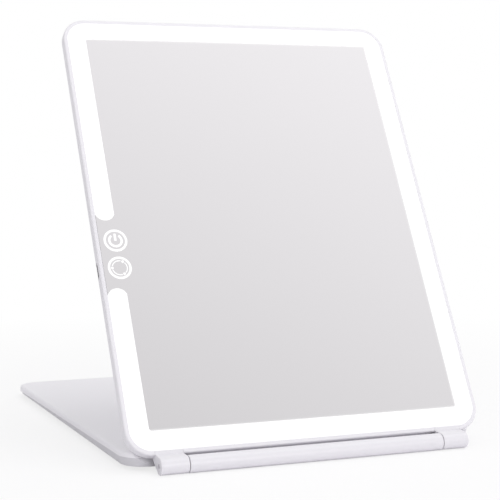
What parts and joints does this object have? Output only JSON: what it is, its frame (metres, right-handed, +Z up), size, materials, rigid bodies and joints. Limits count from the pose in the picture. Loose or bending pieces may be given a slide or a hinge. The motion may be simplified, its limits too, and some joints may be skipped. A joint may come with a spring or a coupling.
{
  "type": "lighted makeup mirror",
  "caption": "Slim rectangular tabletop mirror framed by a broken light band with touch marks at the left, hinged along its lower edge to a flat base that folds over the glass.",
  "frame": {"origin": "bottom centre of the bounding box, on the table", "axes": "+X to the right of someone looking into the mirror, +Y back from the hinge along the base, +Z up"},
  "size_m": [0.195, 0.2634, 0.2283],
  "materials": {
    "white_shell": "satin white moulding",
    "white_paint": "satin white paint",
    "mirror": "silvered glass",
    "diffuser": "opal",
    "tape": "thin double-sided tape",
    "inner_plastic": "plain",
    "flex": "flexible circuit",
    "led": "phosphor lens",
    "copper": "bare copper",
    "ink": "printed",
    "board": "solder mask",
    "chip": "moulded package",
    "steel": "plated",
    "pouch": "foil pouch",
    "lead": "insulated wire",
    "foot_rubber": "soft grey",
    "sleeve": "bronze bearing"
  },
  "bodies": {
    "mirror_panel": {"front_frame": "white_shell", "rear_shell": "white_shell", "mirror_glass": "mirror", "light_diffuser": "diffuser", "mirror_tape": "tape", "mirror_carrier": "inner_plastic", "light_reflector": "inner_plastic", "led_strip": "flex", "leds": "led", "touch_pads": "copper", "power_mark": "ink", "mode_mark": "ink", "control_board": "board", "board_chips": "chip", "usb_socket": "steel", "battery": "pouch", "battery_tape": "tape", "battery_leads": "lead", "disc_springs": "steel", "hinge_nuts": "steel", "knuckle_screws": "steel", "hinge_knuckle_left": "white_paint", "hinge_knuckle_right": "white_paint", "hinge_pin_left": "steel", "hinge_pin_right": "steel"},
    "stand": {"hinge_barrel": "white_paint", "base_top_shell": "white_shell", "base_bottom_shell": "white_shell", "leaf_screws": "steel", "base_screws": "steel", "rubber_feet": "foot_rubber", "friction_sleeve_left": "sleeve", "friction_sleeve_right": "sleeve"}
  },
  "joints": [
    {"name": "stand_fold", "type": "hinge", "parent": "mirror_panel", "child": "stand", "pos_m": [0, -0.1273, 0.0044], "axis": [-1, 0, 0], "range_deg": [0, 298.6]}
  ]
}
